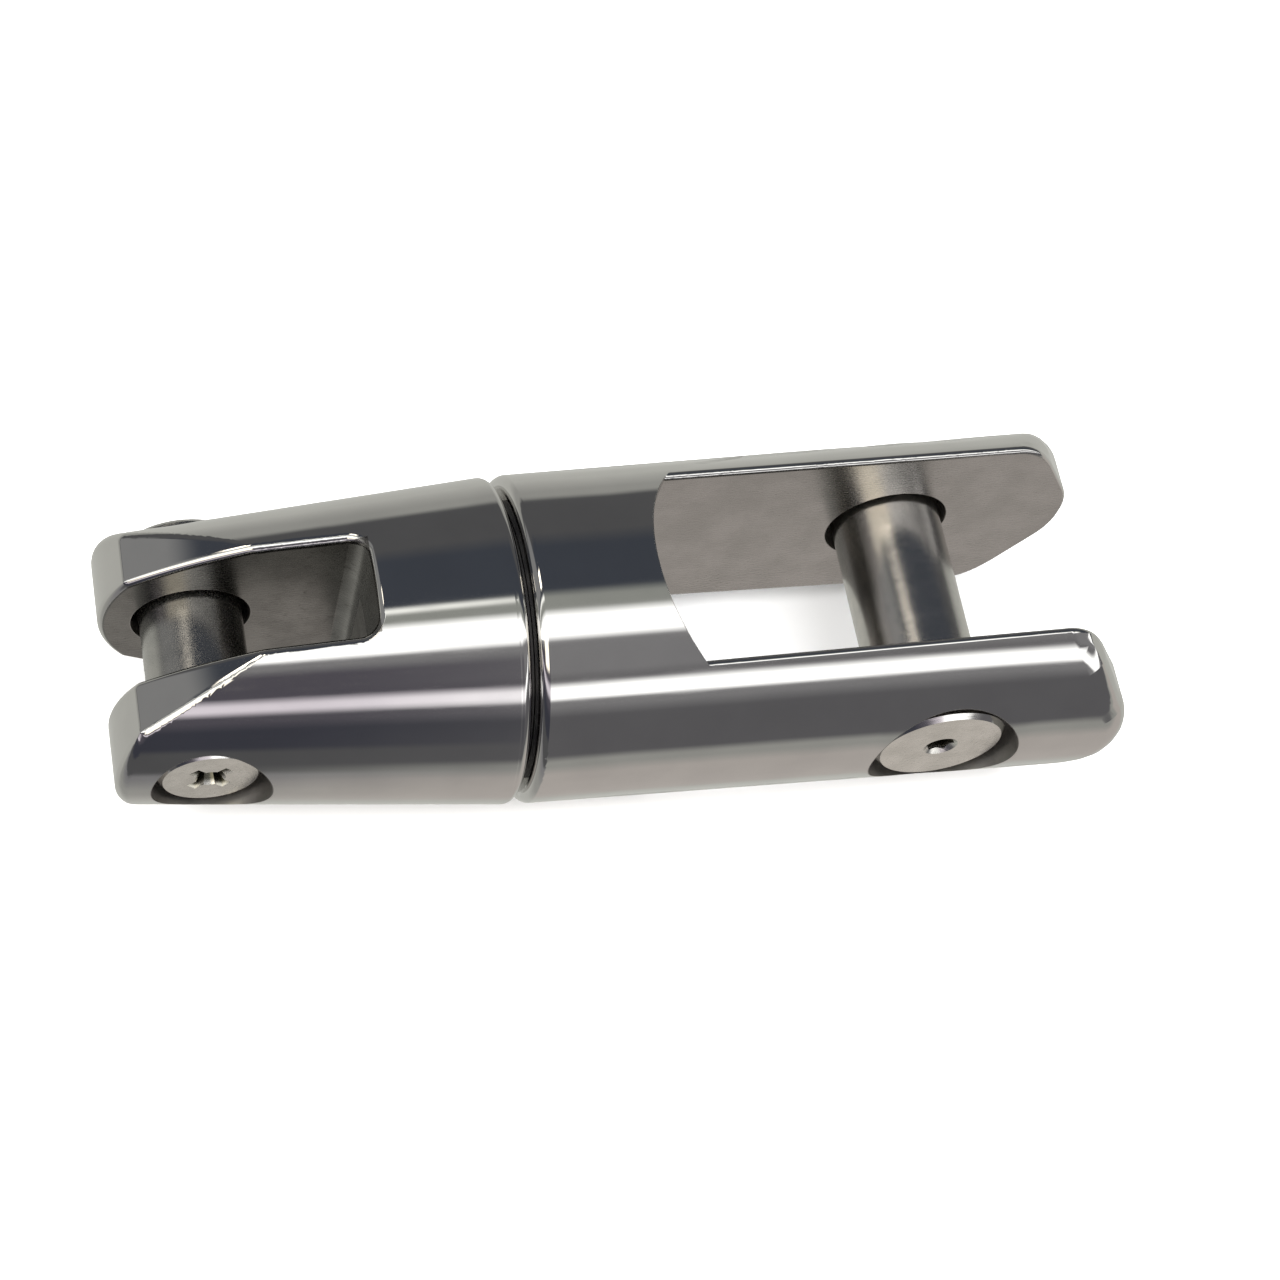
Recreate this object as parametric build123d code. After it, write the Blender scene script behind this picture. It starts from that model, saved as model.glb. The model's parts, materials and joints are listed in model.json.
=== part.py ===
from build123d import *
import math
import os

os.makedirs("parts", exist_ok=True)

# Anchor swivel: two forked jaws, joined end to end by a headed bolt, turn about the X axis.
# The chain jaw points to -X and the anchor jaw to +X.  Both cross pins lie along Y, with
# their screws at -Y.  Every x below is measured from the middle of the seam between the jaws;
# the finished pieces are moved so that the origin is the centre of the anchor pin.
# Millimetres throughout.

# jaw bodies
seam_radius = 17.0
seam_gap = 0.6
seam_rounding = 1.2
chain_taper = 5.14          # degrees that the chain jaw narrows towards its tip
anchor_flare = 1.0          # degrees that the anchor jaw widens towards its tip

# chain jaw
chain_pin_x = -31.3
chain_tip_x = -40.6
chain_slot_width = 10.4
chain_floor_x = -14.8
chain_floor_corner = 1.9
chain_facet_start = (-38.1, 7.9)    # x and z where the blunt tip meets the side facet
chain_facet_end = (-22.0, 14.35)
chain_facet_crown = 0.8
chain_tip_rounding = 1.3
chain_ears_from = -20.5             # the rounded edges of the ears lie beyond this x
chain_edge_break = 0.8

# anchor jaw
anchor_pin_x = 44.6
anchor_tip_radius = 19.2
anchor_nose_x = 65.1
anchor_nose_half_height = 3.0
anchor_nose_angle = 33.0            # degrees from the axis to where the nose facets leave the tip arc
anchor_nose_rounding = 9.0
anchor_slot_width = 20.7
anchor_floor_x = 13.3
anchor_floor_radius = 17.0
anchor_tip_rounding = 3.0
anchor_ears_from = 30.0             # the rounded edges of the ears lie beyond this x
anchor_edge_break = 0.5

# swivel bolt and its bearings
shank_radius = 5.0
bush_radius = 6.5
bush_clearance = 0.05
bolt_seat_x = 10.0          # underside of the bolt head
bolt_head_radius = 7.2
bolt_head_depth = 3.1
bolt_recess_radius = 7.6
head_washer_thickness = 1.0
axial_clearance = 0.06
seam_washer_radius = 14.4
peened_radius = 6.2
peened_depth = 1.4
bolt_socket_across_flats = 5.0
bolt_socket_depth = 1.8

# chain pin and its screw
chain_pin_radius = 5.2
chain_pin_hole_radius = 6.05
chain_nose_radius = 4.8
chain_nose_depth = 2.3
chain_pin_head_radius = 6.6
chain_pin_head_floor = 11.3
chain_pin_head_thickness = 1.9
chain_pin_counterbore = 7.1
chain_screw_head_radius = 5.2
chain_screw_floor = 10.4
chain_screw_head_thickness = 2.2
chain_screw_counterbore = 5.9
cross_recess_span = 5.0
cross_recess_width = 1.2
cross_recess_depth = 1.7
cross_recess_angle = 43.0
cross_recess_draft = 16.0
cross_recess_centre = (1.5, 0.6)    # radii of the conical middle at the face and at the bottom

# anchor pin and its screw
anchor_pin_radius = 5.9
anchor_pin_hole_radius = 6.75
anchor_nose_radius = 5.5
anchor_nose_depth = 2.0
anchor_pin_head_radius = 7.4
anchor_pin_head_floor = 14.2
anchor_pin_head_thickness = 1.7
anchor_pin_counterbore = 8.0
anchor_screw_head_radius = 7.0
anchor_screw_floor = 14.4
anchor_screw_head_thickness = 1.9
anchor_screw_counterbore = 8.0
hex_socket_across_flats = 2.8
hex_socket_depth = 1.5
hex_lead_in_radius = 1.85
hex_lead_in_depth = 0.5

# screw stems, alike on both pins
stem_radius = 3.0
stem_hole_radius = 3.3
tapped_radius = 3.06
stem_reach = 12.0           # length of stem below the screw head
tapped_length = 11.5        # depth of the tapped bore from the end of the nose
drill_point = (0.4, 1.6)    # radius at the tip and length of the cone at the end of the tapped bore
nose_clearance = 0.08
head_edge = 0.5             # chamfer round the pin and screw heads
washer_clearance = 0.15
tool_overlap = 2.0          # how far a cutting tool reaches back into space that is already open
beyond = 60.0               # length of a cutting tool that runs out past the part
surface_tolerance = 0.02


def along_x(radius, x_from, x_to):
    """Solid cylinder on the swivel axis."""
    middle = (x_from + x_to) / 2
    return Pos(middle, 0, 0) * Rot(0, 90, 0) * Cylinder(radius, abs(x_to - x_from))


def along_y(radius, x, y_from, y_to):
    """Solid cylinder on a pin axis."""
    middle = (y_from + y_to) / 2
    return Pos(x, middle, 0) * Rot(90, 0, 0) * Cylinder(radius, abs(y_to - y_from))


def facing_screws(x, y):
    """Plane across a pin axis, looking out towards the screw side."""
    return Plane(origin=(x, y, 0), x_dir=(1, 0, 0), z_dir=(0, -1, 0))


def turned_body(x_seam, x_end, slope):
    """Cone about the swivel axis, with its edge at the seam rounded."""
    end_radius = seam_radius + slope * abs(x_end)
    outline = Polyline(
        (x_seam, 0),
        (x_seam, seam_radius),
        (x_end, end_radius),
        (x_end, 0),
        close=True,
    )
    body = revolve(make_face(outline), Axis.X)
    seam_edge = body.edges().filter_by(GeomType.CIRCLE).sort_by(lambda e: abs(e.center().X))[0]
    return fillet(seam_edge, seam_rounding)


def across_pin(outline):
    """Prism along Y from a closed outline drawn in X and Z."""
    return extrude(Plane.XZ * make_face(outline), beyond, both=True)


def chain_ear_outline():
    """Side view of the chain ears: a blunt round tip, then crowned facets out to the cone."""
    start_x, start_z = chain_facet_start
    end_x, end_z = chain_facet_end
    middle_x = (start_x + end_x) / 2
    middle_z = (start_z + end_z) / 2 + chain_facet_crown
    return [
        ThreePointArc((start_x, -start_z), (chain_tip_x, 0), (start_x, start_z)),
        ThreePointArc((start_x, start_z), (middle_x, middle_z), (end_x, end_z)),
        Polyline((end_x, end_z), (end_x, beyond), (beyond, beyond)),
        Line((beyond, beyond), (beyond, -beyond)),
        Polyline((beyond, -beyond), (end_x, -beyond), (end_x, -end_z)),
        ThreePointArc((end_x, -end_z), (middle_x, -middle_z), (start_x, -start_z)),
    ]


def tip_arc_point(degrees):
    """Point of the arc about the anchor pin that shapes the anchor ears."""
    angle = math.radians(degrees)
    return (
        anchor_pin_x + anchor_tip_radius * math.cos(angle),
        anchor_tip_radius * math.sin(angle),
    )


def anchor_ear_outline():
    """Side view of the anchor ears: an arc about the pin, with two facets and a blunt nose on its end."""
    facet_x, facet_z = tip_arc_point(anchor_nose_angle)
    middle_x, middle_z = tip_arc_point((anchor_nose_angle + 90) / 2)
    return [
        Polyline(
            (facet_x, -facet_z),
            (anchor_nose_x, -anchor_nose_half_height),
            (anchor_nose_x, anchor_nose_half_height),
            (facet_x, facet_z),
        ),
        ThreePointArc(
            (facet_x, facet_z), (middle_x, middle_z), (anchor_pin_x, anchor_tip_radius)
        ),
        Polyline(
            (anchor_pin_x, anchor_tip_radius),
            (-beyond, anchor_tip_radius),
            (-beyond, -anchor_tip_radius),
            (anchor_pin_x, -anchor_tip_radius),
        ),
        ThreePointArc(
            (anchor_pin_x, -anchor_tip_radius), (middle_x, -middle_z), (facet_x, -facet_z)
        ),
    ]


def anchor_slot():
    """Slot between the anchor ears, with a round hollow floor."""
    half_width = anchor_slot_width / 2
    sag = anchor_floor_radius - math.sqrt(anchor_floor_radius**2 - half_width**2)
    corner_x = anchor_floor_x + sag
    floor = ThreePointArc(
        (corner_x, -half_width), (anchor_floor_x, 0), (corner_x, half_width)
    )
    sides = Polyline(
        (corner_x, half_width),
        (corner_x + beyond, half_width),
        (corner_x + beyond, -half_width),
        (corner_x, -half_width),
    )
    return extrude(make_face([floor, sides]), beyond, both=True)


def chain_slot():
    """Slot between the chain ears, with rounded floor corners."""
    block = Box(beyond, chain_slot_width, beyond)
    corners = block.edges().filter_by(Axis.Z).group_by(Axis.X)[-1]
    return Pos(chain_floor_x - beyond / 2, 0, 0) * fillet(corners, chain_floor_corner)


def on_cone(edge, slope):
    """True where an edge lies on a jaw's outer cone."""
    point = edge @ 0.5
    cone_radius = seam_radius + slope * abs(point.X)
    return abs(math.hypot(point.Y, point.Z) - cone_radius) < surface_tolerance


def on_cheek(edge, half_width):
    """True where an edge lies in one of the two flat cheeks of a slot."""
    return all(abs(abs((edge @ t).Y) - half_width) < surface_tolerance for t in (0, 0.5, 1))


def round_ears(body, slope, half_width, ears_from, rounding):
    """Round the edges between a jaw's cone and the side view of its ears, beyond ears_from."""
    outer = body.edges().filter_by(
        lambda e: on_cone(e, slope)
        and e.geom_type not in (GeomType.LINE, GeomType.CIRCLE)
        and not on_cheek(e, half_width)
        and abs((e @ 0.5).X) > abs(ears_from)
    )
    return fillet(outer, rounding)


def break_edges(body, radius, choose):
    """Round the curved edges that choose picks; the straight ones are the slot's inside corners."""
    edges = body.edges().filter_by(lambda e: e.geom_type != GeomType.LINE and choose(e))
    return fillet(edges, radius)


def pin_bores(
    x, half_width, hole, nose, nose_depth, screw_floor, screw_counterbore, head_floor, head_counterbore
):
    """Everything cut through the two ears for one cross pin and its screw."""
    return (
        along_y(hole, x, half_width - tool_overlap, beyond)
        + along_y(head_counterbore, x, head_floor, beyond)
        + along_y(nose, x, tool_overlap - half_width, -half_width - nose_depth)
        + along_y(stem_hole_radius, x, -half_width, -beyond)
        + along_y(screw_counterbore, x, -screw_floor, -beyond)
    )


def chamfered_disc(radius, x, y_seat, y_face):
    """Round head on a pin axis, chamfered round its outer face."""
    disc = along_y(radius, x, y_seat, y_face)
    rims = disc.edges().filter_by(GeomType.CIRCLE)
    outer_rim = rims.sort_by(lambda e: abs(e.center().Y - y_face))[0]
    return chamfer(outer_rim, head_edge)


def make_pin(x, radius, nose_radius, y_shoulder, nose_depth, head_radius, head_floor, head_thickness):
    """Cross pin: a disc head at +Y, the barrel, and a slimmer nose bored for the screw."""
    y_head = head_floor + axial_clearance
    y_end = -y_shoulder - nose_depth + axial_clearance
    barrel = along_y(radius, x, -y_shoulder + axial_clearance, y_head)
    nose = along_y(nose_radius, x, y_end, -y_shoulder + axial_clearance)
    head = chamfered_disc(head_radius, x, y_head, y_head + head_thickness)
    bore_end = y_end + tapped_length
    bore = along_y(tapped_radius, x, y_end - tool_overlap, bore_end)
    point_radius, point_length = drill_point
    point = Cone(tapped_radius, point_radius, point_length)
    return barrel + nose + head - bore - Pos(x, bore_end + point_length / 2, 0) * Rot(-90, 0, 0) * point


def make_screw(x, y_floor, head_radius, head_thickness):
    """Disc-headed screw that closes the pin from the -Y side, without its driving recess."""
    y_seat = -y_floor - axial_clearance
    head = chamfered_disc(head_radius, x, y_seat, y_seat - head_thickness)
    stem = along_y(stem_radius, x, y_seat, y_seat + stem_reach)
    stem_end = stem.edges().filter_by(GeomType.CIRCLE).sort_by(Axis.Y)[-1]
    return head + chamfer(stem_end, head_edge)


def cross_recess(x, y_face):
    """Tapered cross-shaped driving recess."""
    plane = facing_screws(x, y_face) * Rot(0, 0, cross_recess_angle)
    arms = Rectangle(cross_recess_span, cross_recess_width)
    arms += Rectangle(cross_recess_width, cross_recess_span)
    tapered = extrude(plane * arms, -cross_recess_depth, taper=cross_recess_draft)
    face_radius, bottom_radius = cross_recess_centre
    centre = Cone(face_radius, bottom_radius, cross_recess_depth)
    return tapered + Pos(x, y_face + cross_recess_depth / 2, 0) * Rot(-90, 0, 0) * centre


def hex_recess(plane, across_flats, depth):
    """Straight hexagon socket sunk below a plane."""
    corner_radius = across_flats / math.sqrt(3)
    return extrude(plane * RegularPolygon(corner_radius, 6), -depth)


def countersunk_hex(x, y_face):
    """Hexagon socket of the anchor screw, with a conical lead-in."""
    socket = hex_recess(facing_screws(x, y_face), hex_socket_across_flats, hex_socket_depth)
    lead_in = Cone(hex_lead_in_radius, hex_socket_across_flats / 2, hex_lead_in_depth)
    return socket + Pos(x, y_face + hex_lead_in_depth / 2, 0) * Rot(-90, 0, 0) * lead_in


def make_chain_jaw():
    slope = -math.tan(math.radians(chain_taper))
    blank = turned_body(-seam_gap / 2, chain_tip_x - tool_overlap, slope)
    ears = across_pin(chain_ear_outline())
    corners = ears.edges().filter_by(Axis.Y).group_by(Axis.X)[0]
    ears = fillet(corners, chain_tip_rounding)
    half_width = chain_slot_width / 2
    body = (blank & ears) - chain_slot()
    body = round_ears(body, slope, half_width, chain_ears_from, chain_tip_rounding)
    body = break_edges(
        body,
        chain_edge_break,
        lambda e: on_cheek(e, half_width)
        or on_cone(e, slope)
        and abs((e @ 0.5).Y) < half_width
        and (e @ 0.5).X < chain_floor_x / 2,
    )
    body -= pin_bores(
        chain_pin_x,
        half_width,
        chain_pin_hole_radius,
        chain_nose_radius + nose_clearance,
        chain_nose_depth,
        chain_screw_floor,
        chain_screw_counterbore,
        chain_pin_head_floor,
        chain_pin_counterbore,
    )
    return body - peened_stem()


def make_anchor_jaw():
    slope = math.tan(math.radians(anchor_flare))
    blank = turned_body(seam_gap / 2, anchor_nose_x + tool_overlap, slope)
    ears = across_pin(anchor_ear_outline())
    nose_corners = ears.edges().filter_by(Axis.Y).group_by(Axis.X)[-1]
    ears = fillet(nose_corners, anchor_nose_rounding)
    half_width = anchor_slot_width / 2
    body = round_ears(blank & ears, slope, half_width, anchor_ears_from, anchor_tip_rounding)
    body -= anchor_slot()
    body = break_edges(body, anchor_edge_break, lambda e: on_cheek(e, half_width))
    body -= pin_bores(
        anchor_pin_x,
        half_width,
        anchor_pin_hole_radius,
        anchor_nose_radius + nose_clearance,
        anchor_nose_depth,
        anchor_screw_floor,
        anchor_screw_counterbore,
        anchor_pin_head_floor,
        anchor_pin_counterbore,
    )
    body -= along_x(bush_radius, 0, anchor_floor_x)
    recess_from = bolt_seat_x - head_washer_thickness
    return body - along_x(bolt_recess_radius, recess_from, anchor_floor_x + tool_overlap)


def peened_stem():
    """End of the swivel bolt inside the chain jaw, spread into a countersink at the slot floor."""
    stem = along_x(shank_radius, 0, chain_floor_x)
    cone_x = chain_floor_x + peened_depth / 2
    return stem + Pos(cone_x, 0, 0) * Rot(0, -90, 0) * Cone(shank_radius, peened_radius, peened_depth)


def make_swivel_bolt():
    head_end = bolt_seat_x + bolt_head_depth
    head = along_x(bolt_head_radius, bolt_seat_x, head_end)
    rim = head.edges().filter_by(GeomType.CIRCLE).sort_by(Axis.X)[-1]
    shank = along_x(shank_radius, 0, bolt_seat_x)
    bolt = chamfer(rim, head_edge) + shank + peened_stem()
    face = Plane(origin=(head_end, 0, 0), x_dir=(0, 1, 0), z_dir=(1, 0, 0))
    return bolt - hex_recess(face, bolt_socket_across_flats, bolt_socket_depth)


def make_washer(inner_radius, outer_radius, x_from, x_to):
    """Ring about the swivel axis."""
    hole = along_x(inner_radius, x_from - tool_overlap, x_to + tool_overlap)
    return along_x(outer_radius, x_from, x_to) - hole


def make_parts():
    bush_bore = shank_radius + bush_clearance
    chain_pin = make_pin(
        chain_pin_x,
        chain_pin_radius,
        chain_nose_radius,
        chain_slot_width / 2,
        chain_nose_depth,
        chain_pin_head_radius,
        chain_pin_head_floor,
        chain_pin_head_thickness,
    )
    chain_screw = make_screw(
        chain_pin_x, chain_screw_floor, chain_screw_head_radius, chain_screw_head_thickness
    )
    chain_screw_face = -chain_screw_floor - axial_clearance - chain_screw_head_thickness
    anchor_pin = make_pin(
        anchor_pin_x,
        anchor_pin_radius,
        anchor_nose_radius,
        anchor_slot_width / 2,
        anchor_nose_depth,
        anchor_pin_head_radius,
        anchor_pin_head_floor,
        anchor_pin_head_thickness,
    )
    anchor_screw = make_screw(
        anchor_pin_x, anchor_screw_floor, anchor_screw_head_radius, anchor_screw_head_thickness
    )
    anchor_screw_face = -anchor_screw_floor - axial_clearance - anchor_screw_head_thickness
    return {
        "chain_jaw": make_chain_jaw(),
        "anchor_jaw": make_anchor_jaw(),
        "swivel_bolt": make_swivel_bolt(),
        "swivel_bush": make_washer(
            bush_bore, bush_radius, seam_gap / 2, bolt_seat_x - head_washer_thickness - axial_clearance
        ),
        "head_washer": make_washer(
            bush_bore + washer_clearance,
            bolt_head_radius,
            bolt_seat_x - head_washer_thickness,
            bolt_seat_x - axial_clearance,
        ),
        "seam_washer": make_washer(
            bush_bore + washer_clearance,
            seam_washer_radius,
            -seam_gap / 2,
            seam_gap / 2 - axial_clearance,
        ),
        "chain_pin": chain_pin,
        "chain_screw": chain_screw - cross_recess(chain_pin_x, chain_screw_face),
        "anchor_pin": anchor_pin,
        "anchor_screw": anchor_screw - countersunk_hex(anchor_pin_x, anchor_screw_face),
    }


for name, piece in make_parts().items():
    placed = Pos(-anchor_pin_x, 0, 0) * piece
    export_step(placed, f"parts/{name}.step")
    print(name, round(placed.volume, 1), "mm3")
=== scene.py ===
import json
import math

import bmesh
import bpy
from mathutils import Matrix, Vector


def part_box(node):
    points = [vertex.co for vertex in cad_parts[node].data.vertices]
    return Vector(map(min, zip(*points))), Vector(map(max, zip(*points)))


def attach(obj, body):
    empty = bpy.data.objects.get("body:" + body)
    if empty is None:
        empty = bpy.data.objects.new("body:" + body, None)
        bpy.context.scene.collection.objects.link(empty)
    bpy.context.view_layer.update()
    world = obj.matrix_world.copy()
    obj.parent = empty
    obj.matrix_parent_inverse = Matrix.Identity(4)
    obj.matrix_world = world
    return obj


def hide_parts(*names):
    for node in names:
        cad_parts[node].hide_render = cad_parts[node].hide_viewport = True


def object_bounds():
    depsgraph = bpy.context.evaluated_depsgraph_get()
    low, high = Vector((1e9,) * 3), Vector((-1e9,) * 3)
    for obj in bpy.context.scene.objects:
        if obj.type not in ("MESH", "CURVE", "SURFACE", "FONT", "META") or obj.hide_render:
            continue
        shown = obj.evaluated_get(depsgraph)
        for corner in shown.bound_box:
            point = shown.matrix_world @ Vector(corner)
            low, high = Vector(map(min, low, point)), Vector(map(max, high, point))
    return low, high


MM = 0.001

# camera, in millimetres and degrees
CAMERA_TARGET = (-29.9, -1.25, 0.0)
CAMERA_DISTANCE = 284.5
CAMERA_AZIMUTH = -30.84
CAMERA_ELEVATION = 60.70
CAMERA_ROLL = -23.0
CAMERA_LENS = 76.5
SENSOR_WIDTH = 36.0
CLIP_START = 0.01

# surfaces of the two jaws, in millimetres in the part's frame
SEAM_X = -44.6
SEAM_RADIUS = 17.0
CHAIN_TAPER = 5.14          # degrees that each jaw widens towards +X
ANCHOR_FLARE = 1.0
ON_SURFACE = 0.02
TANGENT = 0.85              # cosine of the widest angle between a facet and the smooth surface it follows
CHAIN_HALF_SLOT = 5.2
ANCHOR_HALF_SLOT = 10.35
ANCHOR_FLOOR_X = -31.3
ANCHOR_FLOOR_RADIUS = 17.0
CHAIN_SCREW_COUNTERBORE = 5.9
CHAIN_PIN_COUNTERBORE = 7.1
CHAIN_HOLE = 6.05
ANCHOR_COUNTERBORE = 8.0
ANCHOR_HOLE = 6.75
SKIN = 0.07                 # how far past a machined face its satin finish reaches
BORE_WIDENS = 3.0           # how far past a cheek the bore mask widens from the hole to the counterbore
CHAIN_STAIN = (-69, -66)    # x over which the stains near the chain slot's floor set in

# screw threads, in millimetres
THREAD_PITCH = 1.0
THREAD_DEPTH = 0.55
THREAD_NECK = 0.8           # plain length under the head
THREAD_LEAD = 0.9           # length over which the end of the thread is chamfered
THREAD_SEGMENTS = 64
THREAD_ROWS_PER_PITCH = 14
THREAD_ROOT = 0.14          # height, as a share of the full wave, where the root flat ends
THREAD_FLANK = 0.68         # share of the wave between the root flat and the crest flat
LEAD_CUT = THREAD_DEPTH * 1.4    # how much thinner the stem is at its very end
STEM_SUNK = 0.4             # length of the stem inside the head
STEM_TIP = 2.0              # length at the stem's end where its radius is measured
NEARLY = 0.1
SAME_PLACE = 0.001          # corners this close are one
SHARP_ANGLE = 25.0          # degrees

# screw heads, in millimetres
RIM_WIDTH = 0.5
# painted shade in the screw heads: each recess darkens below these depths, within this radius
RECESS_SHADE_RADIUS = 2.9
RECESS_SHADE_FADE = 0.5
CROSS_RECESS_SHADE_FROM = 0.1     # depth below the face where the recess starts to darken
HEX_RECESS_SHADE_FROM = 0.5

# studio: a ring of panels round the X axis, given in degrees from its centre line
RING_TILT = 25.7            # how far the centre line leans from overhead towards the screw side
FLOOR_SIZE = 6.0
PAPER_WHITE = (0.985, 0.985, 0.98)
WARM_TABLE = (0.58, 0.58, 0.54)
DIM_TABLE = (0.41, 0.41, 0.385)
SHELF = (0.110, 0.110, 0.114)
NIGHT = (0.066, 0.074, 0.092)
STRIP = (1.60, 1.60, 1.52)
EAVES = (0.38, 0.39, 0.36)
SOFTBOX = (2.1, 2.1, 2.08)
PLUM = (0.112, 0.104, 0.126)
ROSE_LAMP = (1.05, 0.97, 1.05)
DEEP = (0.058, 0.060, 0.078)
SLATE = (0.285, 0.28, 0.287)
PEBBLE = (0.21, 0.205, 0.212)
SHADE = (0.145, 0.142, 0.150)
ROSE_TABLE = (0.57, 0.53, 0.495)
CREAM_LAMP = (2.2, 2.05, 1.75)
REAR_LAMP = (4.0, 3.7, 3.2)
SIDE_WALL = (0.30, 0.30, 0.30)

CHAIN_RING = [
    (-180, -140, WARM_TABLE),
    (-124, -113, DIM_TABLE),
    (-108, -76, SHELF),
    (-66, -29.7, NIGHT),
    (-26.9, -25.7, STRIP),
    (-23.3, -18, EAVES),
    (-12.0, 2.5, SOFTBOX),
    (5.8, 9, SLATE),
    (15, 31, PLUM),
    (37, 41, ROSE_LAMP),
    (46, 50, PLUM),
    (58, 74, DEEP),
    (79, 99, SHELF),
    (104, 108, SLATE),
    (126, 134, DIM_TABLE),
    (153, 180, WARM_TABLE),
]
ANCHOR_RING = [
    (-180, -140, WARM_TABLE),
    (-120, -113, DIM_TABLE),
    (-108, -76, SHELF),
    (-64, -32, NIGHT),
    (-26.5, -18.5, EAVES),
    (-12.0, -0.5, SOFTBOX),
    (4.5, 25, SLATE),
    (30, 32, PEBBLE),
    (37, 43.5, SOFTBOX),
    (46.5, 50, SLATE),
    (58, 92, SHADE),
    (98, 103, DIM_TABLE),
    (112, 142, ROSE_TABLE),
    (156, 180, WARM_TABLE),
]
RING_BLEND = (-0.05, 0.15)  # share of +X in a direction, from the chain ring to the anchor ring

# past the chain end: degrees round the ring and their softness, then share of +X and its softness
WALL_ANGLES = (-100, -36, 6)
WALL_FADE = (-0.66, -0.54)
REAR_LAMP_ANGLES = (-46, -36, 3)
REAR_LAMP_SPAN = (-0.48, -0.26, 0.06)
TOP_LAMP_ANGLES = (-8, 22, 5)
TOP_LAMP_SPAN = (-0.70, -0.18, 0.08)

# lamp above the part, in metres and watts
OVERHEAD_PLACE = (-0.1, -0.1, 0.9)
OVERHEAD_TARGET = (-0.03, 0, 0)
OVERHEAD_SIZE = (1.2, 1.2)
OVERHEAD_POWER = 32


# ---------------------------------------------------------------- node helpers


class Nodes:
    """A short way to write a node tree: every method adds one node and returns its output socket."""

    def __init__(self, tree):
        self.tree = tree
        tree.nodes.clear()

    def add(self, kind, inputs=None, **settings):
        node = self.tree.nodes.new(kind)
        for name, value in settings.items():
            setattr(node, name, value)
        for key, value in (inputs or {}).items():
            self.feed(node.inputs[key], value)
        return node

    def feed(self, socket, value):
        if isinstance(value, bpy.types.NodeSocket):
            self.tree.links.new(value, socket)
        else:
            socket.default_value = value

    def math(self, operation, *values, clamp=False):
        node = self.tree.nodes.new("ShaderNodeMath")
        node.operation = operation
        node.use_clamp = clamp
        for socket, value in zip(node.inputs, values):
            self.feed(socket, value)
        return node.outputs[0]

    def vector(self, operation, *values, output="Vector"):
        node = self.tree.nodes.new("ShaderNodeVectorMath")
        node.operation = operation
        for socket, value in zip(node.inputs, values):
            self.feed(socket, value)
        return node.outputs[output]

    def step(self, value, low, high, start=0.0, end=1.0):
        """Smooth rise from start to end as value goes from low to high."""
        node = self.add(
            "ShaderNodeMapRange",
            {"Value": value, "From Min": low, "From Max": high, "To Min": start, "To Max": end},
            interpolation_type="SMOOTHSTEP",
        )
        return node.outputs["Result"]

    def mix(self, factor, first, second):
        node = self.tree.nodes.new("ShaderNodeMix")
        node.data_type = "RGBA"
        self.feed(node.inputs["Factor"], factor)
        self.feed(node.inputs["A"], first)
        self.feed(node.inputs["B"], second)
        return node.outputs["Result"]

    def ramp(self, factor, stops, interpolation="LINEAR"):
        node = self.tree.nodes.new("ShaderNodeValToRGB")
        ramp = node.color_ramp
        ramp.interpolation = interpolation
        for position, _ in stops[1:-1]:
            ramp.elements.new(position)
        for element, (position, colour) in zip(ramp.elements, stops):
            element.position = position
            element.color = (*colour, 1.0)
        self.feed(node.inputs["Fac"], factor)
        return node.outputs["Color"]

    def noise(self, vector, scale=1.0, detail=3.0, roughness=0.5):
        node = self.add(
            "ShaderNodeTexNoise",
            {"Vector": vector, "Scale": scale, "Detail": detail, "Roughness": roughness},
        )
        return node.outputs["Fac"]

    def blend(self, factor, first, second):
        node = self.add("ShaderNodeMix", {"Factor": factor, "A": first, "B": second}, data_type="FLOAT")
        return node.outputs["Result"]

    def bump(self, height, distance, strength=1.0, normal=None):
        inputs = {"Height": height, "Distance": distance, "Strength": strength}
        if normal is not None:
            inputs["Normal"] = normal
        return self.add("ShaderNodeBump", inputs).outputs["Normal"]

    def millimetres(self):
        """Place on the part in its own frame, in millimetres, so that a finish stays on its piece."""
        place = self.add("ShaderNodeTexCoord").outputs["Object"]
        return self.vector("MULTIPLY", place, (1000, 1000, 1000))

    def split(self, vector):
        return self.add("ShaderNodeSeparateXYZ", {"Vector": vector}).outputs

    def length(self, first, second):
        squares = self.math("MULTIPLY_ADD", first, first, self.math("MULTIPLY", second, second))
        return self.math("SQRT", squares)

    def finish(self, colour, roughness, normal, metallic=1.0):
        shader = self.add(
            "ShaderNodeBsdfPrincipled",
            {"Base Color": colour, "Roughness": roughness, "Normal": normal, "Metallic": metallic},
        )
        self.add("ShaderNodeOutputMaterial", {"Surface": shader.outputs[0]})


def new_material(name):
    material = bpy.data.materials.new(name)
    material.use_nodes = True
    return material, Nodes(material.node_tree)


# ---------------------------------------------------------------- materials


def chain_slot_mask(n, x, y):
    """1 on the cheeks and floor of the chain slot."""
    floor_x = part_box("swivel_bolt")[0].x / MM + SKIN
    between = n.math("LESS_THAN", n.math("ABSOLUTE", y), CHAIN_HALF_SLOT + SKIN)
    return n.math("MULTIPLY", between, n.math("LESS_THAN", x, floor_x))


def anchor_slot_mask(n, x, y):
    """1 on the cheeks and round floor of the anchor slot."""
    centre = ANCHOR_FLOOR_X + ANCHOR_FLOOR_RADIUS
    behind = n.math("MAXIMUM", n.math("SUBTRACT", centre, x), 0.0)
    in_floor = n.math("LESS_THAN", n.length(behind, y), ANCHOR_FLOOR_RADIUS + SKIN)
    between = n.math("LESS_THAN", n.math("ABSOLUTE", y), ANCHOR_HALF_SLOT + SKIN)
    return n.math("MULTIPLY", in_floor, between)


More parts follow.
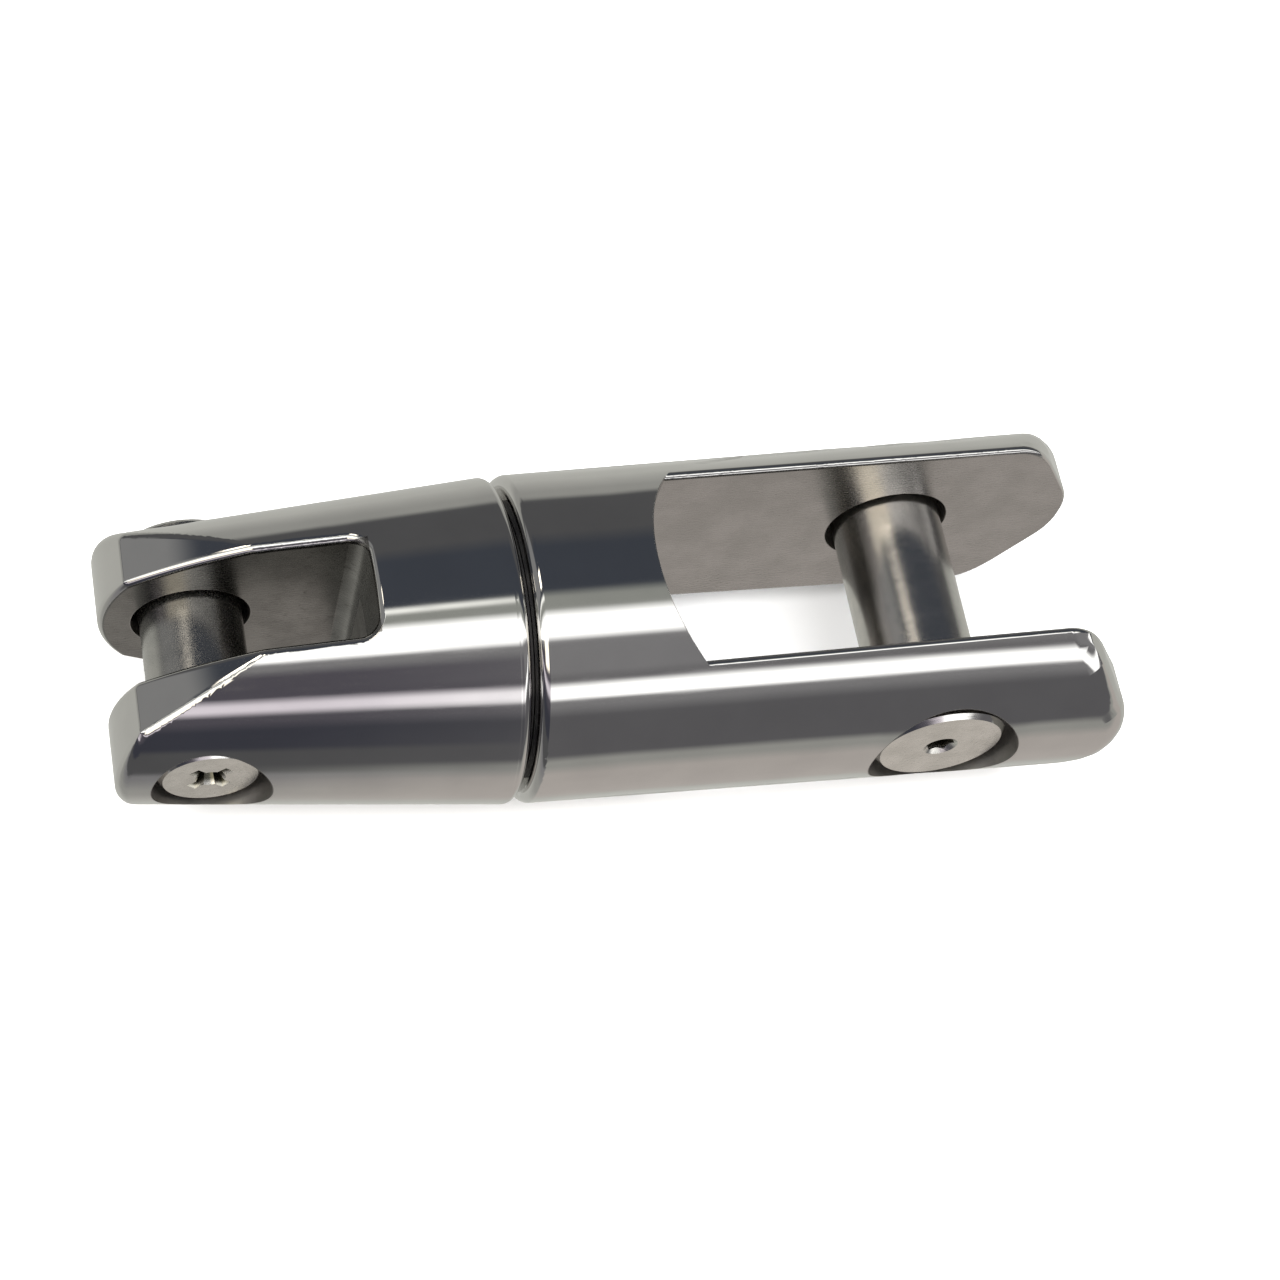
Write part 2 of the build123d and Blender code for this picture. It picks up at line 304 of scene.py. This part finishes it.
def bore_mask(n, x, y, z, bores):
    """1 on the walls of a cross pin's hole and counterbores."""
    pin_x, hole, screw_side, head_side, wide_from = bores
    away = n.length(n.math("SUBTRACT", x, pin_x), z)
    outer = n.blend(n.math("GREATER_THAN", y, 0.0), screw_side + SKIN, head_side + SKIN)
    deep = n.math("LESS_THAN", n.math("ABSOLUTE", y), wide_from)
    return n.math("LESS_THAN", away, n.blend(deep, outer, hole + SKIN))


def jaw_steel(name, slot_mask, bores, slot_tone_and_shade, stain=None):
    """Mirror-polished steel outside, satin finished by grinding in the slot with its colour darkened as
    painted shade, machined in the bores.
    """
    material, n = new_material(name)
    place = n.millimetres()
    x, y, z = n.split(place)
    slot = slot_mask(n, x, y)
    bore = bore_mask(n, x, y, z, bores)

    # polishing marks run along the jaw; the buffed surface is never quite flat
    marks = n.noise(n.vector("MULTIPLY", place, (0.10, 2.6, 2.6)), detail=5.0, roughness=0.6)
    swell = n.noise(n.vector("MULTIPLY", place, (0.035, 0.11, 0.11)), detail=1.0)
    haze = n.noise(place, scale=0.16, detail=3.0)
    buffed = n.step(haze, 0.3, 0.8, 0.045, 0.085)
    mirror_rough = n.math("MULTIPLY_ADD", n.step(marks, 0.42, 0.75), 0.035, buffed)
    mirror_tint = n.mix(n.step(haze, 0.3, 0.75), (0.635, 0.628, 0.615, 1), (0.595, 0.588, 0.578, 1))

    # the slot is finished by grinding, its colour darkened as painted shade standing in for the shadow under
    # and between the ears that the cheeks reflect, and stained by handling where stain gives the x over
    # which the stains set in
    grain = n.noise(n.vector("MULTIPLY", place, (1.4, 1.4, 9.0)), detail=4.0, roughness=0.65)
    cloud = n.noise(place, scale=0.22, detail=4.0, roughness=0.6)
    dark, light = slot_tone_and_shade
    slot_colour_and_shade = n.mix(n.step(cloud, 0.32, 0.7), (*dark, 1), (*light, 1))
    if stain is not None:
        spots = n.noise(n.vector("ADD", place, (40, 0, 11)), scale=0.75, detail=5.0, roughness=0.7)
        spotted = n.math("MULTIPLY", n.step(spots, 0.54, 0.68), n.step(x, *stain))
        slot_colour_and_shade = n.mix(n.math("MULTIPLY", spotted, 0.55), slot_colour_and_shade, (0.10, 0.093, 0.085, 1))
    satin_rough = n.math("MULTIPLY_ADD", grain, 0.14, 0.20)

    machined = n.mix(n.step(cloud, 0.3, 0.7), (0.34, 0.33, 0.315, 1), (0.50, 0.485, 0.465, 1))
    colour = n.mix(bore, n.mix(slot, mirror_tint, slot_colour_and_shade), machined)
    roughness = n.blend(bore, n.blend(slot, mirror_rough, satin_rough), 0.42)
    relief = n.blend(slot, n.math("MULTIPLY", swell, 10.0), n.math("MULTIPLY", grain, 0.4))
    n.finish(colour, roughness, n.bump(relief, 0.005 * MM))
    return material


def turned_metal(name, dark, light, roughness, pin_x=None, polished_from=None, recess_shade_from=None):
    """Lathe-turned metal: fine rings about the piece's own axis, X or a cross pin's, and, where a recess
    depth is given, painted shade darkening the recess in a screw head.
    """
    material, n = new_material(name)
    place = n.millimetres()
    x, y, z = n.split(place)
    if pin_x is None:
        away, along = n.length(y, z), x
    else:
        away, along = n.length(n.math("SUBTRACT", x, pin_x), z), y
    ring = n.add("ShaderNodeCombineXYZ", {"X": away, "Y": along}).outputs[0]
    rings = n.noise(ring, scale=7.0, detail=4.0, roughness=0.7)
    cloud = n.noise(place, scale=0.35, detail=4.0, roughness=0.6)
    fleck = n.noise(place, scale=2.2, detail=3.0, roughness=0.6)
    colour = n.mix(n.step(cloud, 0.3, 0.72), (*dark, 1), (*light, 1))
    low, high = roughness
    reach = (high - low) * 0.6
    rough = n.math("MULTIPLY_ADD", rings, reach, n.step(fleck, 0.35, 0.75, low, low + reach))
    if polished_from is not None:
        rim = n.math("GREATER_THAN", away, polished_from)
        rough = n.blend(rim, rough, 0.10)
        colour = n.mix(rim, colour, (0.68, 0.67, 0.65, 1))
    # painted shade: the colour darkens deeper inside the head's recess
    if recess_shade_from is not None:
        recess_shade = n.step(along, recess_shade_from, recess_shade_from + RECESS_SHADE_FADE)
        recess_shade = n.math("MULTIPLY", recess_shade, n.math("LESS_THAN", away, RECESS_SHADE_RADIUS))
        colour = n.mix(recess_shade, colour, (0.13, 0.125, 0.10, 1))
    n.finish(colour, rough, n.bump(n.math("ADD", rings, n.math("MULTIPLY", cloud, 2.0)), 0.004 * MM))
    return material


def moulded_acetal(name):
    """Black moulded washer with a faint grain and rubbed patches."""
    material, n = new_material(name)
    place = n.millimetres()
    grain = n.noise(place, scale=3.0, detail=3.0)
    cloud = n.noise(place, scale=0.3, detail=3.0)
    colour = n.mix(n.step(cloud, 0.35, 0.7), (0.012, 0.012, 0.013, 1), (0.032, 0.031, 0.03, 1))
    rough = n.math("MULTIPLY_ADD", cloud, 0.25, 0.38)
    n.finish(colour, rough, n.bump(grain, 0.02 * MM), metallic=0.0)
    return material


def dress(node, material):
    frame["nodes"][node].material_slots[0].material = material


# ---------------------------------------------------------------- jaws


def exact_normal(place, facing, slope, half_slot):
    """Normal of a jaw's cone or cheek at a corner of its mesh, or None elsewhere."""
    radial = Vector((0, place.y, place.z))
    cone = (radial.normalized() - Vector((slope, 0, 0))).normalized()
    cone_radius = SEAM_RADIUS + slope * (place.x - SEAM_X)
    if abs(radial.length - cone_radius) < ON_SURFACE and facing.dot(cone) > TANGENT:
        return cone
    cheek = Vector((0, -math.copysign(1, place.y), 0))
    if abs(abs(place.y) - half_slot) < ON_SURFACE and facing.dot(cheek) > TANGENT:
        return cheek
    return None


def make_polished_jaw(node, body, taper, half_slot, material):
    """The CAD jaw with exact normals on its cone and cheeks, so that the polish shows no facets."""
    mesh = frame["nodes"][node].data.copy()
    mesh.name = node + "_polished"
    slope = math.tan(math.radians(taper))
    normals = [corner.vector.copy() for corner in mesh.corner_normals]
    for face in mesh.polygons:
        for corner in face.loop_indices:
            place = mesh.vertices[mesh.loops[corner].vertex_index].co / MM
            exact = exact_normal(place, face.normal, slope, half_slot)
            if exact is not None:
                normals[corner] = exact
    mesh.normals_split_custom_set(normals)
    mesh.materials.clear()
    mesh.materials.append(material)
    jaw = bpy.data.objects.new(node + "_polished", mesh)
    bpy.context.scene.collection.objects.link(jaw)
    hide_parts(node)
    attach(jaw, body)


# ---------------------------------------------------------------- threaded screws


def thread_profile(turns):
    """Height across one pitch of thread: 0 on the flat root, 1 on the flat crest."""
    wave = 1 - abs(2 * (turns % 1) - 1)
    return min(max((wave - THREAD_ROOT) / THREAD_FLANK, 0), 1)


def stem_radius(distance, length, radius, angle):
    """Radius of a threaded stem at a distance below its head."""
    runout = min(max((distance - THREAD_NECK) / THREAD_PITCH, 0), 1)
    cut = 1 - thread_profile(distance / THREAD_PITCH - angle / (2 * math.pi))
    chamfer = radius - LEAD_CUT + max(length - distance, 0) / THREAD_LEAD * LEAD_CUT
    return min(radius - THREAD_DEPTH * cut * runout, chamfer)


def add_threaded_stem(bm, centre_x, seat_y, end_y, radius):
    """Add a closed threaded stem, sunk a little into its head."""
    length = end_y - seat_y
    rows = round(length / THREAD_PITCH * THREAD_ROWS_PER_PITCH)
    rings = []
    for row in range(rows + 2):
        distance = -STEM_SUNK if row == 0 else (row - 1) / rows * length
        ring = []
        for segment in range(THREAD_SEGMENTS):
            angle = 2 * math.pi * segment / THREAD_SEGMENTS
            r = stem_radius(max(distance, 0), length, radius, angle)
            place = (centre_x + r * math.cos(angle), seat_y + distance, r * math.sin(angle))
            ring.append(bm.verts.new(Vector(place) * MM))
        rings.append(ring)
    for lower, upper in zip(rings, rings[1:]):
        for i in range(THREAD_SEGMENTS):
            j = (i + 1) % THREAD_SEGMENTS
            bm.faces.new((lower[i], upper[i], upper[j], lower[j]))
    bm.faces.new(rings[0])
    bm.faces.new(list(reversed(rings[-1])))


def make_threaded_screw(node, body, centre_x, material):
    """The CAD screw's head on a stem with a real helical thread, no thicker than the CAD stem."""
    low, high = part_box(node)
    end_y = high.y / MM
    bm = bmesh.new()
    bm.from_mesh(frame["nodes"][node].data)
    bmesh.ops.remove_doubles(bm, verts=bm.verts, dist=SAME_PLACE * MM)

    def from_axis(vert):
        return math.hypot(vert.co.x / MM - centre_x, vert.co.z / MM)

    radius = max(from_axis(v) for v in bm.verts if v.co.y / MM > end_y - STEM_TIP)
    head_radius = max(from_axis(v) for v in bm.verts)
    seat_y = max(v.co.y / MM for v in bm.verts if from_axis(v) > head_radius - NEARLY)
    stem = [v for v in bm.verts if v.co.y / MM > seat_y + NEARLY]
    bmesh.ops.delete(bm, geom=stem, context="VERTS")
    bmesh.ops.holes_fill(bm, edges=[e for e in bm.edges if e.is_boundary])
    add_threaded_stem(bm, centre_x, seat_y, end_y, radius)
    bmesh.ops.recalc_face_normals(bm, faces=bm.faces)
    for face in bm.faces:
        face.smooth = True
    for edge in bm.edges:
        edge.smooth = edge.calc_face_angle(0) < math.radians(SHARP_ANGLE)
    mesh = bpy.data.meshes.new(node + "_threaded")
    bm.to_mesh(mesh)
    bm.free()
    if "custom_normal" in mesh.attributes:
        mesh.attributes.remove(mesh.attributes["custom_normal"])
    mesh.materials.clear()
    mesh.materials.append(material)
    screw = bpy.data.objects.new(node + "_threaded", mesh)
    bpy.context.scene.collection.objects.link(screw)
    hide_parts(node)
    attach(screw, body)


# ---------------------------------------------------------------- studio


def ring_colour(n, share, panels):
    """Colour of a ring of panels at a share of the full turn."""
    stops = []
    for start, end, colour in panels:
        stops.append((start / 360 + 0.5, colour))
        stops.append((end / 360 + 0.5, colour))
    return n.ramp(share, stops)


def window(n, value, span):
    """1 between two values, fading to 0 outside them."""
    low, high, soft = span
    rise = n.step(value, low - soft, low)
    fall = n.step(value, high, high + soft, 1.0, 0.0)
    return n.math("MULTIPLY", rise, fall)


def make_world():
    """Studio seen in the steel: brightness depends on the direction, not on the camera."""
    world = bpy.data.worlds.new("studio")
    bpy.context.scene.world = world
    world.use_nodes = True
    n = Nodes(world.node_tree)
    tilt = math.radians(RING_TILT)
    direction = n.add("ShaderNodeTexCoord").outputs["Generated"]
    out = n.vector("DOT_PRODUCT", direction, (0, -math.sin(tilt), math.cos(tilt)), output="Value")
    front = n.vector("DOT_PRODUCT", direction, (0, -math.cos(tilt), -math.sin(tilt)), output="Value")
    angle = n.math("ARCTAN2", front, out)
    share = n.math("MULTIPLY_ADD", angle, 1 / (2 * math.pi), 0.5)
    sideways = n.split(direction)[0]
    to_anchor = n.step(sideways, *RING_BLEND)
    ring = n.mix(to_anchor, ring_colour(n, share, CHAIN_RING), ring_colour(n, share, ANCHOR_RING))

    # past the chain end: a dim wall, and cream lamps that light the cross pins
    degrees = n.math("MULTIPLY", angle, 180 / math.pi)
    wall = n.math("MULTIPLY", window(n, degrees, WALL_ANGLES), n.step(sideways, *WALL_FADE, 1.0, 0.0))
    rear_lamp = n.math("MULTIPLY", window(n, degrees, REAR_LAMP_ANGLES), window(n, sideways, REAR_LAMP_SPAN))
    top_lamp = n.math("MULTIPLY", window(n, degrees, TOP_LAMP_ANGLES), window(n, sideways, TOP_LAMP_SPAN))
    ring = n.mix(wall, ring, (*SIDE_WALL, 1))
    ring = n.mix(top_lamp, ring, (*CREAM_LAMP, 1))
    ring = n.mix(rear_lamp, ring, (*REAR_LAMP, 1))
    seen = n.add("ShaderNodeLightPath").outputs["Is Camera Ray"]
    backdrop = n.mix(seen, ring, (*PAPER_WHITE, 1))
    background = n.add("ShaderNodeBackground", {"Color": backdrop, "Strength": 1.0})
    n.add("ShaderNodeOutputWorld", {"Surface": background.outputs[0]})


def make_floor(low):
    mesh = bpy.data.meshes.new("floor")
    half = FLOOR_SIZE / 2
    corners = [(-half, -half, low), (half, -half, low), (half, half, low), (-half, half, low)]
    mesh.from_pydata(corners, [], [(0, 1, 2, 3)])
    floor = bpy.data.objects.new("floor", mesh)
    bpy.context.scene.collection.objects.link(floor)
    material, n = new_material("floor")
    shader = n.add(
        "ShaderNodeBsdfPrincipled",
        {"Base Color": (0.9, 0.9, 0.9, 1), "Roughness": 0.9, "Specular IOR Level": 0.1},
    )
    n.add("ShaderNodeOutputMaterial", {"Surface": shader.outputs[0]})
    mesh.materials.append(material)
    floor.visible_glossy = False


def make_light(name, place, target, size, power):
    data = bpy.data.lights.new(name, "AREA")
    data.shape = "RECTANGLE"
    data.size, data.size_y = size
    data.energy = power
    light = bpy.data.objects.new(name, data)
    light.location = place
    light.rotation_euler = (Vector(target) - Vector(place)).to_track_quat("-Z", "Y").to_euler()
    light.visible_glossy = False
    bpy.context.scene.collection.objects.link(light)


def make_camera():
    azimuth, elevation = math.radians(CAMERA_AZIMUTH), math.radians(CAMERA_ELEVATION)
    roll = math.radians(CAMERA_ROLL)
    back = Vector(
        (
            math.sin(azimuth) * math.cos(elevation),
            -math.cos(azimuth) * math.cos(elevation),
            math.sin(elevation),
        )
    )
    level = Vector((0, 0, 1)).cross(back).normalized()
    upright = back.cross(level)
    up = upright * math.cos(roll) + level * math.sin(roll)
    right = up.cross(back)
    data = bpy.data.cameras.new("camera")
    data.lens = CAMERA_LENS
    data.sensor_width = SENSOR_WIDTH
    data.clip_start = CLIP_START
    camera = bpy.data.objects.new("camera", data)
    turn = Matrix((right, up, back)).transposed()
    place = Vector(CAMERA_TARGET) * MM + back * CAMERA_DISTANCE * MM
    camera.matrix_world = Matrix.Translation(place) @ turn.to_4x4()
    bpy.context.scene.collection.objects.link(camera)
    bpy.context.scene.camera = camera


# ---------------------------------------------------------------- assembly

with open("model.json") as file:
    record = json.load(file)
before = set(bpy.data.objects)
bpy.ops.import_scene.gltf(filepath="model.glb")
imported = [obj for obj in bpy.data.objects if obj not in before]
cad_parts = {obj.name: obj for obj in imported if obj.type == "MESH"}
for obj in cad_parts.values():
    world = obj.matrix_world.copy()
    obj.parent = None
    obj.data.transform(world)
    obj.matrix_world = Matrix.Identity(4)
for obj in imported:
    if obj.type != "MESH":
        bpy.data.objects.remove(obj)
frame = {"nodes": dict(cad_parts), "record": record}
cad_low, cad_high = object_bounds()

pin_places = {mount["name"]: mount["pos_m"][0] / MM for mount in frame["record"]["mounts"]}
chain_x, anchor_x = pin_places["chain_pin"], pin_places["anchor_pin"]

chain_wide_from = CHAIN_HALF_SLOT + BORE_WIDENS
anchor_wide_from = ANCHOR_HALF_SLOT + BORE_WIDENS
chain_bores = (chain_x, CHAIN_HOLE, CHAIN_SCREW_COUNTERBORE, CHAIN_PIN_COUNTERBORE, chain_wide_from)
anchor_bores = (anchor_x, ANCHOR_HOLE, ANCHOR_COUNTERBORE, ANCHOR_COUNTERBORE, anchor_wide_from)
# the slot tones are the steel darkened with painted shade, darkest in the narrow chain slot
chain_slot_tone_and_shade = ((0.19, 0.184, 0.175), (0.27, 0.263, 0.251))
anchor_slot_tone_and_shade = ((0.40, 0.39, 0.378), (0.47, 0.456, 0.446))
chain_steel = jaw_steel("chain_jaw_polish", chain_slot_mask, chain_bores, chain_slot_tone_and_shade, CHAIN_STAIN)
anchor_steel = jaw_steel("anchor_jaw_polish", anchor_slot_mask, anchor_bores, anchor_slot_tone_and_shade)
make_polished_jaw("chain_jaw", "chain_fork", CHAIN_TAPER, CHAIN_HALF_SLOT, chain_steel)
make_polished_jaw("anchor_jaw", "anchor_fork", ANCHOR_FLARE, ANCHOR_HALF_SLOT, anchor_steel)
chain_turned = turned_metal(
    "chain_pin_turned", (0.42, 0.415, 0.40), (0.50, 0.49, 0.47), (0.22, 0.30), chain_x
)
dress("chain_pin", chain_turned)
anchor_turned = turned_metal(
    "anchor_pin_turned", (0.56, 0.55, 0.53), (0.64, 0.62, 0.59), (0.18, 0.26), anchor_x
)
dress("anchor_pin", anchor_turned)
dress("swivel_bolt", turned_metal("bolt_machined", (0.38, 0.37, 0.36), (0.52, 0.51, 0.49), (0.24, 0.40)))
dress("swivel_bush", turned_metal("bush_bronze", (0.50, 0.32, 0.15), (0.68, 0.46, 0.24), (0.22, 0.38)))
dress("head_washer", turned_metal("washer_bronze", (0.50, 0.32, 0.15), (0.68, 0.46, 0.24), (0.22, 0.38)))
dress("seam_washer", moulded_acetal("seam_acetal"))

# each screw's recess depth sets where painted shade starts inside its head
for node, body, pin_x, recess_shade_depth in (
    ("chain_screw", "chain_cross_screw", chain_x, CROSS_RECESS_SHADE_FROM),
    ("anchor_screw", "anchor_cross_screw", anchor_x, HEX_RECESS_SHADE_FROM),
):
    low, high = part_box(node)
    satin = turned_metal(
        node + "_satin",
        (0.66, 0.65, 0.61),
        (0.80, 0.785, 0.745),
        (0.20, 0.32),
        pin_x,
        polished_from=(high.x - low.x) / 2 / MM - RIM_WIDTH,
        recess_shade_from=low.y / MM + recess_shade_depth,
    )
    make_threaded_screw(node, body, pin_x, satin)

make_world()
make_floor(cad_low.z)
make_light("overhead", OVERHEAD_PLACE, OVERHEAD_TARGET, OVERHEAD_SIZE, OVERHEAD_POWER)
make_camera()

bpy.context.scene.view_settings.view_transform = "Standard"
